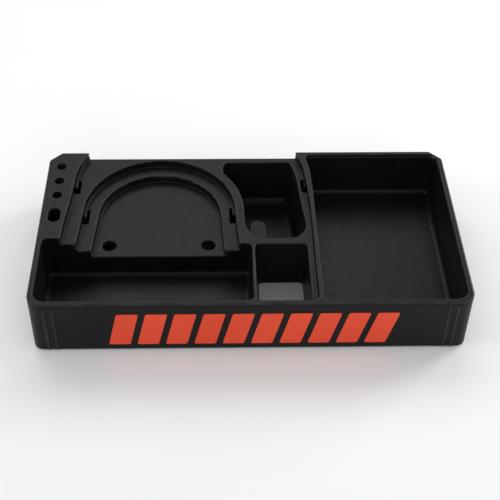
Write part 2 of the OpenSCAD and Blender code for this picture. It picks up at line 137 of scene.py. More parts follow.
class Field:
    def __init__(self, lo, hi, h):
        self.h = h
        self.lo = np.array(lo, float)
        n = [int(math.ceil((b - a) / h)) + 1 for a, b in zip(lo, hi)]
        self.ax = [(lo[k] + h * np.arange(n[k])).astype(F) for k in range(3)]
        self.D = np.full(n, F(1e3))

    def sub(self, box=None):
        if box is None:
            sl = (slice(None),) * 3
        else:
            sl = []
            for k in range(3):
                i0 = max(0, int(math.floor((box[0][k] - self.lo[k]) / self.h)) - 1)
                i1 = min(len(self.ax[k]), int(math.ceil((box[1][k] - self.lo[k]) / self.h)) + 2)
                sl.append(slice(i0, i1))
            sl = tuple(sl)
        x = self.ax[0][sl[0]][:, None]
        y = self.ax[1][sl[1]][None, :]
        z = self.ax[2][sl[2]][None, None, :]
        return sl, x, y, z

    def sample(self, p):
        q = (p - self.lo) / self.h
        n = np.array(self.D.shape)
        i = np.clip(np.floor(q).astype(int), 0, n - 2)
        f = np.clip(q - i, 0, 1)
        r = 0
        for a in (0, 1):
            for b in (0, 1):
                for c in (0, 1):
                    w = ((f[:, 0] if a else 1 - f[:, 0]) * (f[:, 1] if b else 1 - f[:, 1])
                         * (f[:, 2] if c else 1 - f[:, 2]))
                    r = r + w * self.D[i[:, 0] + a, i[:, 1] + b, i[:, 2] + c]
        return r

    def mesh_data(self, adapt):
        D = np.clip(self.D, -3 * self.h, 3 * self.h).astype(F)
        if vdb is not None:
            g = vdb.FloatGrid(float(3 * self.h))
            g.copyFromArray(D, tolerance=0.0)
            g.gridClass = vdb.GridClass.LEVEL_SET
            p, t, q = vdb.FloatGrid.convertToPolygons(g, isovalue=0.0, adaptivity=adapt)
            faces = [tuple(int(v) for v in f[::-1]) for f in t] + [tuple(int(v) for v in f[::-1]) for f in q]
            return np.asarray(p, float) * self.h + self.lo, faces
        # plain surface nets, used when the volume library isn't there
        s = D < 0
        n = D.shape
        c = [s[i:n[0] - 1 + i, j:n[1] - 1 + j, k:n[2] - 1 + k] for i in (0, 1) for j in (0, 1) for k in (0, 1)]
        cnt = sum(v.astype(np.int8) for v in c)
        cell = (cnt > 0) & (cnt < 8)
        idx = -np.ones(cell.shape, int)
        pos = np.argwhere(cell)
        idx[cell] = np.arange(len(pos))
        acc = np.zeros((len(pos), 3))
        num = np.zeros(len(pos))
        corners = [(0, 0, 0), (1, 0, 0), (0, 1, 0), (0, 0, 1), (1, 1, 0), (1, 0, 1), (0, 1, 1), (1, 1, 1)]
        for a in corners:
            for b in corners:
                if sum(b) - sum(a) != 1 or any(y < x for x, y in zip(a, b)):
                    continue
                da = D[tuple((pos + a).T)]
                db = D[tuple((pos + b).T)]
                m = (da < 0) != (db < 0)
                t = np.where(m, da / np.where(m, da - db, 1), 0)
                pt = np.array(a) + t[:, None] * (np.array(b) - np.array(a))
                acc[m] += pt[m]
                num[m] += 1
        p = (pos + acc / num[:, None]) * self.h + self.lo
        faces = []
        for ax in range(3):
            o = [k for k in range(3) if k != ax]
            e = np.argwhere(np.diff(s.astype(np.int8), axis=ax) != 0)
            ok = np.all([(e[:, k] > 0) & (e[:, k] < n[k] - 1) for k in o], axis=0)
            e = e[ok]
            up = s[tuple(e.T)]
            q = []
            for d0, d1 in ((0, 0), (1, 0), (1, 1), (0, 1)):
                v = e.copy()
                v[:, o[0]] -= d0
                v[:, o[1]] -= d1
                q.append(idx[tuple(v.T)])
            q = np.stack(q, 1)
            flip = up if ax != 1 else ~up
            q = np.where(flip[:, None], q, q[:, ::-1])
            faces += [tuple(int(v) for v in f) for f in q]
        return p, faces


def link(o):
    bpy.context.scene.collection.objects.link(o)
    return o


def field_object(name, f, adapt=0.01, copies=None):
    """Mesh the field; copies is a list of functions that place a copy of the vertices."""
    p, faces = f.mesh_data(adapt)
    e = 0.7 * f.h
    g = np.zeros_like(p)
    for k in range(3):
        d = np.zeros(3)
        d[k] = e
        g[:, k] = f.sample(p + d) - f.sample(p - d)
    g /= np.maximum(np.linalg.norm(g, axis=1), 1e-9)[:, None]
    # how sharply the surface turns outwards here, for edge wear and, on the moulded plastics, painted highlights along
    # the edges
    e2 = 1.2
    lap = -6 * f.sample(p)
    for k in range(3):
        d = np.zeros(3)
        d[k] = e2
        lap = lap + f.sample(p + d) + f.sample(p - d)
    edge = lap / e2
    P, N, FA, E = [], [], [], []
    for c in (copies or [lambda v, w: (v, w, False)]):
        v, w, flip = c(p, g)
        off = sum(len(a) for a in P)
        P.append(v)
        N.append(w)
        E.append(edge)
        FA += [tuple(i + off for i in (t[::-1] if flip else t)) for t in faces]
    P, N, E = np.concatenate(P), np.concatenate(N), np.concatenate(E)
    me = bpy.data.meshes.new(name)
    me.from_pydata((P * 0.001).tolist(), [], FA)
    me.validate()
    me.shade_smooth()
    a = me.attributes.new("edge", "FLOAT", "POINT")
    if len(me.vertices) == len(E):
        a.data.foreach_set("value", E.astype(F))
        me.normals_split_custom_set_from_vertices(N.tolist())
    me.update()
    return link(bpy.data.objects.new(name, me))


def mirrored(v, w):
    s = np.array([-1.0, 1, 1])
    return v * s, w * s, True


def at(dx, dy, dz=0.0):
    return lambda v, w: (v + np.array([dx, dy, dz]), w, False)


# ------------------------------------------------------------------ sizes from the frame
lo_t, hi_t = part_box("tray_body")
HW = round(float(hi_t[0] - lo_t[0]) * 500, 2)
HD = round(float(hi_t[1] - lo_t[1]) * 500, 2)
TH = round(float(hi_t[2]) * 1000, 2)
SX, SY, FLARE = -82.6, 26.0, 3.2   # centre of the can seat, how far its legs open out
R_QUART, R_HALF, R_RING = 57.1, 70.3, 78.7
Z1, Z2, Z3 = TH - 8, TH - 16, TH - 24
BACK = -18.6          # back wall of the hardware bin
BY = 10.0             # centre line of the slide bolts
FEET = [(-172, -80), (172, -80), (-150, 84), (172, 80)]
COVER_HOLES = [(x, y) for x in (-158, -7) for y in (-82, -48)]

POCKET = [(-23, 50), (-23, 93.2), (42.0, 93.2), (45.2, 82), (46.7, 74), (47.8, 65), (48.8, 52), (49.4, 40),
          (50.8, 25), (52.5, 11), (52.8, 3), (51.2, -2.5), (48.2, -7), (43.8, -10.8), (38, -12.6),
          (10.3, -12.6), (3.1, -6.6), (-1.2, 0.3), (-3.2, 7), (-4.3, 30), (-30, 30)]
POCKET_R = [0, 7, 6, 8, 0, 0, 0, 0, 0, 20, 4, 4, 4, 4, 5, 5, 4, 5, 8, 0, 0]
DECK = [(-169.2, BACK), (-167.8, 3), (-166.2, 21), (-164.7, 36), (-163.6, 50), (-163.1, 62), (-162.4, 69),
        (-161.4, 76), (-159.7, 83), (-157.4, 90), (-155.0, 95), (-151.5, 101)]
RIDGE = [(47.6, 100), (50, 92), (52.3, 84.5), (54, 76.5), (54.9, 67), (55.4, 58), (56.2, 47), (57.1, 34), (57.6, 22)]


def pocket_plan(x, y, g=0.0):
    d = sd_poly(fillet(POCKET, POCKET_R), x, y) - F(g)
    c = np.sqrt((x - F(SX)) ** 2 + (y - F(SY)) ** 2) - F(R_RING - g)
    return rmax(d, -c, 0.6)


def u_plan(x, y, r):
    """U of the can seat: round at the back, its two legs opening a little to the front."""
    out = r + FLARE * (SY + 30) / (SY - BACK)
    pts = [(SX - out, -30)] + [(SX - r * math.cos(t), SY + r * math.sin(t)) for t in np.linspace(0, math.pi, 61)]
    return sd_poly(pts + [(SX + out, -30)], x, y)


def outline_pts(gx=0.0, gy=0.0, r=12.0):
    x, y, c = HW - gx, HD - gy, 11 + 0.207 * (gx + gy)
    return fillet([(-x, -y), (x, -y), (x, y - c), (x - c, y), (-x + c, y), (-x, y - c)],
                  [r - gy, r - gy, 3.5, 3.5, 3.5, 3.5])


# ------------------------------------------------------------------ the moulded tray
def build_tray():
    h = 0.65
    f = Field((-HW - 3, -HD - 3, -3), (HW + 3, HD + 3, TH + 3), h)
    sl, x, y, z = f.sub()
    # the front corners tighten from the rim to the foot
    k = np.clip(z / F(TH), 0, 1)
    o3 = sd_poly(outline_pts(), x, y)[:, :, None] * k + sd_poly(outline_pts(-0.5, 0, 8.0), x, y)[:, :, None] * (F(1) - k)
    top, bot = z - F(TH), -z
    f.D = np.maximum(rmax(o3, top, 1.1), rmax(o3, bot, 2.8))
    del o3

    # cavities seen from above
    T = np.full(f.D.shape, F(1e3))

    def cav(box, d2, k, ztop, zf, rf, rj=0.9, lim=None):
        b, x, y, z = f.sub(box)
        a = d2(x, y)[:, :, None] + F(k) * np.maximum(F(ztop) - z, 0)
        c = rmax(a, F(zf) - z, rf)
        if lim is not None:
            c = np.maximum(c, lim(x, y)[:, :, None])
        T[b] = rmin(T[b], c, rj)

    hardware = fillet([(-185.1, -HD + 4.4), (2.6, -HD + 4.4), (2.6, BACK), (-185.1, BACK)], [11, 6, 6, 6.5])
    cav(((-190, -99, 2), (20, -10, TH + 3)), lambda x, y: sd_poly(hardware, x, y), 0.028, TH, 14, 4.5)
    lowered = [(-169.2, -45)] + DECK + [(-149, 130), (46.5, 130)] + RIDGE + [(57.6, -45)]

    def low(x, y):
        a = sd_poly(lowered, x, y)
        a = np.maximum(a, F(BACK - 2.5) - y)
        b = sd_rect(x, y, 1.2, -HD + 4.4, 57.6, BACK + 6, 5)
        return np.minimum(a, b)
    cav(((-190, -99, Z1 - 4), (70, 102, TH + 3)), low, 0.015, TH, Z1, 0.5, 0.4)
    lim = lambda x, y: F(BACK - 3.0) - y + 0 * x
    cav(((-165, -30, Z2 - 4), (0, 100, TH + 3)), lambda x, y: u_plan(x, y, R_HALF), 0.015, Z1, Z2, 0.5, 0.4, lim=lim)
    cav(((-150, -30, Z3 - 4), (-12, 90, TH + 3)), lambda x, y: u_plan(x, y, R_QUART), 0.015, Z2, Z3, 0.5, 0.4, lim=lim)

    # middle pocket: rounded corners, a scooped ramp at the front left
    b, x, y, z = f.sub(((-60, -22, -3), (60, 100, TH + 3)))
    a = pocket_plan(x, y)[:, :, None] + F(0.045) * np.maximum(F(Z1) - z, 0)
    c = rmax(a, F(2.6) - z, 8.0)
    # round-ended finger shelf at the front left, sloping down towards the back
    px, py = x - F(8.4), np.maximum(y - F(9), 0)
    cap = (np.sqrt(px * px + py * py) - F(7.2))[:, :, None] - F(0.02) * (F(48) - z)
    topz = F(50.9) - F(0.15) * (y - F(-8))[:, :, None]
    shelf = rmax(cap, (z - topz) * F(0.99), 1.6)
    c = rmax(c, -shelf, 1.2)
    T[b] = rmin(T[b], c, 0.4)

    # drill bin with its flared back left corner
    drill = fillet([(61.4, -HD + 4), (HW - 4.9, -HD + 4), (HW - 4.9, HD - 3.9), (56.4, HD - 3.9), (58.8, 82),
                    (60.2, 74), (60.8, 64), (61.2, 50)], [7, 11.5, 8, 4.5, 12, 8, 8, 20])
    cav(((40, -99, 2), (195, 100, TH + 3)), lambda x, y: sd_poly(drill, x, y), 0.03, TH, 12, 4.5)

    f.D = rmax(f.D, -T, 0.75)
    del T

    def carve(box, fn, r=0.5):
        b, x, y, z = f.sub(box)
        f.D[b] = rmax(f.D[b], -fn(x, y, z), r)

    # hammer shaft, open at the bottom, its left side leaning in
    def shaft(x, y, z):
        x3, y3 = x[:, :, None], y[:, :, None]
        a = np.maximum(F(5) + F(0.09) * np.maximum(F(Z1) - z, 0) - x3, x3 - F(52.4) + F(0.03) * (F(TH) - z))
        c = np.maximum(F(-HD + 4.4) + F(0.03) * (F(TH) - z) - y3, y3 - F(-19.5) + F(0.012) * (F(TH) - z))
        return rmax(a, c, 4.5)
    carve(((0, -99, -3), (56, -12, TH + 3)), shaft, 1.0)

    # tool holes, strap slots, drains
    for yc in (38.5, 58.5, 79.0):
        carve(((-186, yc - 9, 44), (-169, yc + 9, TH + 3)),
              lambda x, y, z: (np.sqrt((x + F(177.7)) ** 2 + (y - F(yc)) ** 2) - F(4.5))[:, :, None] + 0 * z, 0.7)
    carve(((-188, -2, 44), (-166, 26, TH + 3)),
          lambda x, y, z: sd_rect(x, y, -183.1, 2.5, -172.1, 20.5, 5.4)[:, :, None] + 0 * z, 0.7)
    # strap slots: a slit in the lower step, opening into a window under the upper one
    for x0, x1, xw, y0, ym, y1, z0, zu in ((-161, -158.2, -168.5, 48.5, 57.5, 67, 46, TH),
                                           (-150.9, -148.1, -158, 15.3, 25.4, 35, 38, Z1),
                                           (-17.1, -14.6, -10.8, 15.7, 27.5, 36, 38, Z1),
                                           (51.2, 54.2, 57, 48.8, 58.3, 67, 44, TH)):
        xa, xb = min(x0 + 0.5, xw), max(x1 - 0.5, xw)

        def strap(x, y, z):
            a = np.maximum(sd_rect(x, y, x0, y0, x1, y1, 0.6)[:, :, None], F(z0) - z)
            b = np.maximum(sd_rect(x, y, xa, y0, xb, ym, 0.6)[:, :, None], slab(z, z0, zu - 2.0))
            return rmin(a, b, 0.3)
        carve(((min(xa, x0) - 2, y0 - 2, z0 - 3), (max(xb, x1) + 2, y1 + 2, TH + 3)), strap, 0.35)
    for cx in (SX - 45.5, SX + 45.5):
        carve(((cx - 10, -15, 28), (cx + 10, 5, TH + 3)),
              lambda x, y, z: (np.sqrt((x - F(cx)) ** 2 + (y + F(5)) ** 2) - F(6.5))[:, :, None] + 0 * z, 0.8)

    # hollows underneath, with ribs, posts and the slide bolt carriers left standing
    sl, x, y, z = f.sub(((-HW, -HD, -3), (HW, HD, TH - 1)))
    inn = sd_poly(outline_pts(4, 3), x, y)
    pk = pocket_plan(x, y, 3.0)
    under = [(np.maximum(np.maximum(sd_poly(outline_pts(4, 4), x, y), x - F(-0.5)), y - F(BACK + 3)), 11.0)]
    base = np.maximum(np.maximum(inn, -pk), np.maximum(F(BACK + 3 - 0.4) - y, x - F(0)))
    under.append((base, Z3 - 3.0))
    N = np.full((x.shape[0], y.shape[1], z.shape[2]), F(1e3))
    for d2, zt in under:
        N = np.minimum(N, np.maximum(d2[:, :, None], z - F(zt)))
    l3 = np.maximum(base, -u_plan(x, y, R_QUART + 3))
    N = np.minimum(N, np.maximum(l3[:, :, None], z - F(Z2 - 3)))
    part = np.minimum(x - F(SX) + 0 * y, sd_rect(x, y, -70, 76, -28, 99))
    l4 = np.maximum(np.maximum(base, -u_plan(x, y, R_HALF + 3)), part)
    N = np.minimum(N, np.maximum(l4[:, :, None], z - F(Z1 - 3)))
    deck = sd_poly([(-200, -45), (-172.2, -45)] + [(px - 3, py) for px, py in DECK] + [(-154.5, 112), (-200, 112)], x, y)
    N = np.minimum(N, np.maximum(np.maximum(base, deck)[:, :, None], z - F(TH - 3)))
    N = np.minimum(N, np.maximum(np.maximum(sd_poly(outline_pts(4, 4), x, y), F(57) - x)[:, :, None], z - F(9)))
    N = np.minimum(N, np.maximum(sd_rect(x, y, 55.4, -HD + 5, 58.4, 62, 1)[:, :, None], z - F(Z1 - 3)))
    N = np.minimum(N, np.maximum(sd_rect(x, y, 4.4, -9.4, 12.4, 9.6, 1)[:, :, None], z - F(44.5)))
    del l3, l4

    K = np.full(N.shape, F(1e3))

    def keep(d2, z0):
        nonlocal K
        K = np.minimum(K, np.maximum(d2[:, :, None], F(z0) - z))
    ax_ = np.abs(x)
    for t in (-1, 1):
        keep(np.maximum(sd_rect(x, y, -400, BY + t * 14.8 - 1.5, 400, BY + t * 14.8 + 1.5), F(HW - 38) - ax_), 4.4)
        keep(np.maximum(sd_rect(x, y, -400, BY + t * 7 - 1.5, 400, BY + t * 7 + 1.5), F(HW - 38) - ax_), 7.6)
        keep(np.sqrt((ax_ - F(HW - 25)) ** 2 + (y - F(BY + t * 20)) ** 2) - F(4.2), 4.4)
    keep(np.maximum(np.abs(ax_ - F(HW - 84.5)) - F(1.5), np.abs(y - F(BY)) - F(10)), 3.0)
    for px, py in FEET:
        keep(np.sqrt((x - F(px)) ** 2 + (y - F(py)) ** 2) - F(7.5), 2.0)
    for px, py in COVER_HOLES:
        keep(np.sqrt((x - F(px)) ** 2 + (y - F(py)) ** 2) - F(3.6), 6.0)
    for xa, xb in ((-154, -152), (-84.5, -82), (-14, -12)):
        keep(sd_rect(x, y, xa, -79, xb, -51), 7.5)
    for xr in (-145, -112, -82, -53, -24):
        keep(np.maximum(np.abs(x - F(xr)) - F(1.1), F(BACK) - y), 20)
    for yr in (44, 74):
        keep(np.maximum(np.abs(y - F(yr)) - F(1.1), x), 20)
    for yc in (38.5, 58.5, 79.0):
        keep(np.sqrt((x + F(177.7)) ** 2 + (y - F(yc)) ** 2) - F(6.5), TH - 10)
    N = rmax(N, -K, 0.35)
    del K
    f.D[sl] = rmax(f.D[sl], -N, 0.45)
    del N
    for yc in (38.5, 58.5, 79.0):
        carve(((-186, yc - 9, 44), (-169, yc + 9, TH + 3)),
              lambda x, y, z: (np.sqrt((x + F(177.7)) ** 2 + (y - F(yc)) ** 2) - F(4.5))[:, :, None] + 0 * z, 0.5)

    # slots for the slide bolts and holes for their rods
    for s in (-1, 1):
        b0, b1 = sorted((s * (HW - 8), s * (HW + 3)))
        carve(((b0, BY - 16, 0), (b1, BY + 16, 12)),
              lambda x, y, z: np.maximum(np.abs(y - F(BY)) - F(13.5), 0 * x)[:, :, None] * 0
              + rmax((np.abs(y - F(BY)) + 0 * x - F(13.5))[:, :, None], np.abs(z - F(6)) - F(2.0), 0.6), 0.3)
        b0, b1 = sorted((s * (HW - 88), s * (HW - 81)))
        carve(((b0, BY - 6, 0), (b1, BY + 6, 14)),
              lambda x, y, z: np.sqrt(((y - F(BY)) + 0 * x)[:, :, None] ** 2 + (z - F(6.5)) ** 2) - F(1.6), 0.2)
    # two fine upright beads beside both front corners
    for s in (-1, 1):
        for xg in (168.9, 176.0):
            b0, b1 = sorted((s * (xg - 5), s * (xg + 5)))
            b, x, y, z = f.sub(((b0, -HD - 2, 0), (b1, -HD + 4, TH)))
            a = np.abs(np.abs(x)[:, :, None] - F(xg) - F(0.02) * (F(30) - z) + 0 * y[:, :, None]) - F(0.75)
            bead = np.maximum(a, np.abs(y - F(-HD))[:, :, None] - F(0.65) + 0 * x[:, :, None])
            f.D[b] = rmin(f.D[b], rmax(bead, slab(z, 1.2, 54), 0.5), 0.5)
    # fine line round the front and sides, just under the rim
    sl, x, y, z = f.sub(((-HW - 3, -HD - 3, 53), (HW + 3, HD + 3, TH + 1)))
    o3 = np.maximum(sd_poly(outline_pts(), x, y), y - F(HD - 14))
    f.D[sl] = rmax(f.D[sl], -rmax((F(-0.4) - o3)[:, :, None], slab(z, 56.5, 57.5), 0.3), 0.3)
    return field_object("tray_shell", f, 0.012)


tray = build_tray()
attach(tray, "tray")
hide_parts("tray_body")
print("tray faces", len(tray.data.polygons), "verts", len(tray.data.vertices))


# ------------------------------------------------------------------ badge blocks
def prism_blocks(name, y0, y1, bevel):
    import bmesh
    n, xa, xb, slant, z0, z1 = 10, -124.0, 124.0, 9.0, 8.0, 47.0
    pitch = (xb - xa) / n
    bm = bmesh.new()
    for i in range(n):
        x = xa + i * pitch
        w = pitch - 6
        q = [(x, z0), (x + w, z0), (x + w + slant, z1), (x + slant, z1)]
        vs = [bm.verts.new((px * 0.001, y0 * 0.001, pz * 0.001)) for px, pz in q]
        vb = [bm.verts.new((px * 0.001, y1 * 0.001, pz * 0.001)) for px, pz in q]
        bm.faces.new(vs)
        bm.faces.new(vb[::-1])
        for a in range(4):
            b = (a + 1) % 4
            bm.faces.new((vs[b], vs[a], vb[a], vb[b]))
    bmesh.ops.recalc_face_normals(bm, faces=bm.faces[:])
    up = [e for e in bm.edges if abs(e.verts[0].co.y - e.verts[1].co.y) > 1e-6]
    bmesh.ops.bevel(bm, geom=up, offset=0.0018, segments=5, profile=0.5, affect="EDGES")
    front = [e for e in bm.edges if all(abs(v.co.y - y0 * 0.001) < 1e-7 for v in e.verts)]
    bmesh.ops.bevel(bm, geom=front, offset=bevel * 0.001, segments=3, profile=0.5, affect="EDGES")
    me = bpy.data.meshes.new(name)
    bm.to_mesh(me)
    bm.free()
    me.shade_smooth()
    o = link(bpy.data.objects.new(name, me))
    o.modifiers.new("wn", "WEIGHTED_NORMAL").keep_sharp = True
    return o


badge = prism_blocks("badge_blocks", -HD - 0.35, -HD + 1.15, 0.3)
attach(badge, "tray")
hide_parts("front_badge")


# ------------------------------------------------------------------ small parts, right hand side drawn
def extr(x, y, z, d2, z0, z1, r):
    return rmax(d2[:, :, None], slab(z, z0, z1), r)


HS = 0.33


def build_bolt(side):
    x0, x1 = HW - 58, HW + 12
    f = Field((x0 - 2, BY - 15, 2.5), (x1 + 2, BY + 15, 10.5), HS)
    _, x, y, z = f.sub()
    d2 = sd_rect(x, y, x0, BY - 13, x1, BY + 13, 0.6)
    nose = sd_rect(x, y, x0 - 40, BY - 13, x1, BY + 13, 5)
    d2 = np.maximum(d2, nose)
    a = extr(x, y, z, d2, 4.5, 7.5, 0.45)
    blk = extr(x, y, z, sd_rect(x, y, x0, BY - 13, x0 + 10, BY + 13, 0.8), 4.5, 8.6, 0.45)
    d = rmin(a, blk, 0.8)
    # the rounded join swells where the two share a face, so it is trimmed back to their outline
    d = np.maximum(d, extr(x, y, z, d2, 4.5, 8.6, 0.45))
    # a shallow pressed rib along the tongue
    rib = extr(x, y, z, sd_rect(x, y, x0 + 16, BY - 2.0, x1 - 7, BY + 2.0, 1.9), 6.9, 9.0, 0.2)
    d = rmax(d, -rib, 0.3)
    f.D = d
    return field_object(side + "_slide_tongue", f, 0.01, [mirrored] if side == "left" else None)


def build_pull(side):
    x0 = HW - 57.5
    f = Field((x0 - 1.5, BY - 13, -1), (x0 + 10.5, BY + 13, 6.5), HS * 0.8)
    _, x, y, z = f.sub()
    d = extr(x, y, z, sd_rect(x, y, x0, BY - 11, x0 + 9, BY + 11, 2), 0.6, 4.48, 0.6)
    for k in (2.3, 4.5, 6.7):
        g = np.sqrt((x - F(x0 + k))[:, :, None] ** 2 + (z - F(0.4)) ** 2) - F(0.85)
        d = rmax(d, -np.maximum(g, (np.abs(y - F(BY)) - F(9))[:, :, None]), 0.25)
    f.D = d
    return field_object(side + "_finger_grip", f, 0.01, [mirrored] if side == "left" else None)


def build_keeper(side):
    kx = HW - 25
    f = Field((kx - 12, BY - 28, 1.2), (kx + 12, BY + 28, 5.6), HS)
    _, x, y, z = f.sub()
    d = extr(x, y, z, sd_rect(x, y, kx - 10, BY - 26, kx + 10, BY + 26, 4), 2.4, 4.4, 0.4)
    w = sd_rect(x, y, kx - 4, BY - 12, kx + 4, BY + 12, 4)[:, :, None] + 0 * z
    d = rmax(d, -w, 0.4)
    for t in (-1, 1):
        w = (np.sqrt((x - F(kx)) ** 2 + (y - F(BY + t * 20)) ** 2) - F(1.8))[:, :, None] + 0 * z
        d = rmax(d, -w, 0.3)
    f.D = d
    return field_object(side + "_keeper_plate", f, 0.01, [mirrored] if side == "left" else None)


def screw_field(ztop, rh, hh, rs, ls):
    h = 0.17
    f = Field((-rh - 0.8, -rh - 0.8, ztop - hh - 0.8), (rh + 0.8, rh + 0.8, ztop + ls + 0.8), h)
    _, x, y, z = f.sub()
    r = np.sqrt(x * x + y * y)[:, :, None]
    head = rmax(rmax(r - F(rh), F(ztop - hh) - z, 0.9), z - F(ztop), 0.15)
    pitch = 1.25
    th = np.arctan2(y + 0 * x, x + 0 * y)[:, :, None] / F(2 * math.pi)
    ph = np.abs(((z / F(pitch) - th) % 1.0) - 0.5) * 2
    tip = np.clip((z - F(ztop + ls - 1.8)) / F(1.8), 0, 1)
    rr = F(rs) - F(0.35) * ph * (1 - tip) - tip * F(rs * 0.75)
    shank = np.maximum(np.maximum((r - rr) * F(0.8), z - F(ztop + ls - 0.1)), F(ztop - 0.3) - z)
    d = rmin(head, shank, 0.2)
    for a in (x, y):
        b = y if a is x else x
        deep = F(ztop - hh + 1.0)
        arm = np.maximum((np.abs(a + 0 * b) - F(rh * 0.55))[:, :, None] + (z - F(ztop - hh)) * F(0.5),
                         (np.abs(b + 0 * a) - F(0.42))[:, :, None])
        d = rmax(d, -np.maximum(arm, z - deep), 0.12)
    f.D = d
    return f


def build_feet():
    f = Field((-8.5, -8.5, -1.2), (8.5, 8.5, 8), HS)
    _, x, y, z = f.sub()
    r = np.sqrt(x * x + y * y)[:, :, None]
    d = rmax(r - F(7), slab(z, 0, 1.98), 0.5)
    for q in (2.6, 4.8):
        d = rmax(d, -(np.sqrt((r - F(q)) ** 2 + (z + F(0.1)) ** 2) - F(0.55)), 0.2)
    d = np.minimum(d, rmax(r - F(1.95), slab(z, 0.5, 6.4), 0.4))
    f.D = d
    return field_object("feet_pads", f, 0.01, [at(px, py) for px, py in FEET])


def build_cover():
    f = Field((-166, -90, 2.5), (0.5, -40, 7.5), HS * 1.3)
    _, x, y, z = f.sub()
    d = extr(x, y, z, sd_rect(x, y, -164, -88, -2, -42, 4), 4.0, 5.98, 0.4)
    # long stiffening beads pressed towards the outside
    for cy in (-76, -54):
        bead = extr(x, y, z, sd_rect(x, y, -146, cy - 2.2, -20, cy + 2.2, 2.1), 5.2, 8, 0.3)
        d = rmax(d, -bead, 0.4)
    for cx in (-118, -48):
        d = rmax(d, -((np.sqrt((x - F(cx)) ** 2 + (y + F(65)) ** 2) - F(4))[:, :, None] + 0 * z), 0.35)
    for px, py in COVER_HOLES:
        d = rmax(d, -((np.sqrt((x - F(px)) ** 2 + (y - F(py)) ** 2) - F(1.7))[:, :, None] + 0 * z), 0.3)
    f.D = d
    return field_object("magnet_cover_plate", f, 0.01)


def build_magnets():
    f = Field((-153, -77, 4.8), (-13, -53, 12.2), HS * 1.4)
    _, x, y, z = f.sub()
    a = extr(x, y, z, sd_rect(x, y, -151.5, -75, -85, -55, 1.0), 6.02, 10.98, 0.5)
    b = extr(x, y, z, sd_rect(x, y, -81.5, -75, -14.5, -55, 1.0), 6.02, 10.98, 0.5)
    f.D = np.minimum(a, b)
    return field_object("magnet_bars", f, 0.01)


def lathe_x(name, prof, yc, zc, side, seg=28):
    """Round part along X from a list of (x, r) stations."""
    s = -1 if side == "left" else 1
    vs, fs = [], []
    for i, (px, r) in enumerate(prof):
        for j in range(seg):
            a = 2 * math.pi * j / seg
            vs.append((s * px * 0.001, (yc + r * math.cos(a)) * 0.001, (zc + r * math.sin(a)) * 0.001))
    for i in range(len(prof) - 1):
        for j in range(seg):
            k = (j + 1) % seg
            q = (i * seg + j, i * seg + k, (i + 1) * seg + k, (i + 1) * seg + j)
            fs.append(q if s > 0 else q[::-1])
    fs.append(tuple(range(seg))[::-1] if s > 0 else tuple(range(seg)))
    e = (len(prof) - 1) * seg
    fs.append(tuple(e + j for j in range(seg)) if s > 0 else tuple(e + j for j in range(seg))[::-1])
    me = bpy.data.meshes.new(name)
    me.from_pydata(vs, [], fs)
    import bmesh
    bm = bmesh.new()
    bm.from_mesh(me)
    bmesh.ops.recalc_face_normals(bm, faces=bm.faces[:])
    bm.to_mesh(me)
    bm.free()
    me.shade_smooth()
    o = link(bpy.data.objects.new(name, me))
    m = o.modifiers.new("wn", "WEIGHTED_NORMAL")
    m.keep_sharp = True
    return o


def build_rod(side):
    r = 1.25
    x1, x0 = HW - 50, HW - 90
    p = [(x0, 0.5), (x0 + 0.15, 0.85), (x0 + 0.4, 1.1), (x0 + 0.8, r), (x0 + 5, r), (x0 + 5.2, r - 0.12),
         (x0 + 5.8, r - 0.12), (x0 + 6, r), (x1, r)]
    return lathe_x(side + "_guide_rod", p, BY, 6.5, side)


def build_spring(side):
    s = -1 if side == "left" else 1
    wr, R, turns = 0.28, 1.95, 10
    x0, x1 = HW - 83 + wr + 0.03, HW - 58 - wr - 0.16
    per, sec = ((32, 12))
    n = turns * per
    vs, fs = [], []
    for i in range(n + 1):
        t = i / per
        lead = 2 * wr * 1.05
        if t < 1:
            p = t * lead
        elif t > turns - 1:
            p = (x1 - x0) - (turns - t) * lead
        else:
            p = lead + (t - 1) / (turns - 2) * (x1 - x0 - 2 * lead)
        a = 2 * math.pi * t
        c = np.array([x0 + p, R * math.cos(a), R * math.sin(a)])
        rad = np.array([0, math.cos(a), math.sin(a)])
        ax = np.array([1.0, 0, 0])
        for j in range(sec):
            b = 2 * math.pi * j / sec
            q = c + wr * (math.cos(b) * rad + math.sin(b) * ax)
            vs.append((s * q[0] * 0.001, (BY + q[1]) * 0.001, (6.5 + q[2]) * 0.001))
    for i in range(n):
        for j in range(sec):
            k = (j + 1) % sec
            fs.append((i * sec + j, i * sec + k, (i + 1) * sec + k, (i + 1) * sec + j))
    fs.append(tuple(range(sec)))
    fs.append(tuple(n * sec + j for j in range(sec)))
    me = bpy.data.meshes.new(side + "_coil")
    me.from_pydata(vs, [], fs)
    import bmesh
    bm = bmesh.new()
    bm.from_mesh(me)
    bmesh.ops.recalc_face_normals(bm, faces=bm.faces[:])
    bm.to_mesh(me)
    bm.free()
    me.shade_smooth()
    return link(bpy.data.objects.new(side + "_coil", me))


PARTS = []


def add(o, body, node, slot):
    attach(o, body)
    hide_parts(node)
    PARTS.append((o, slot))
    return o


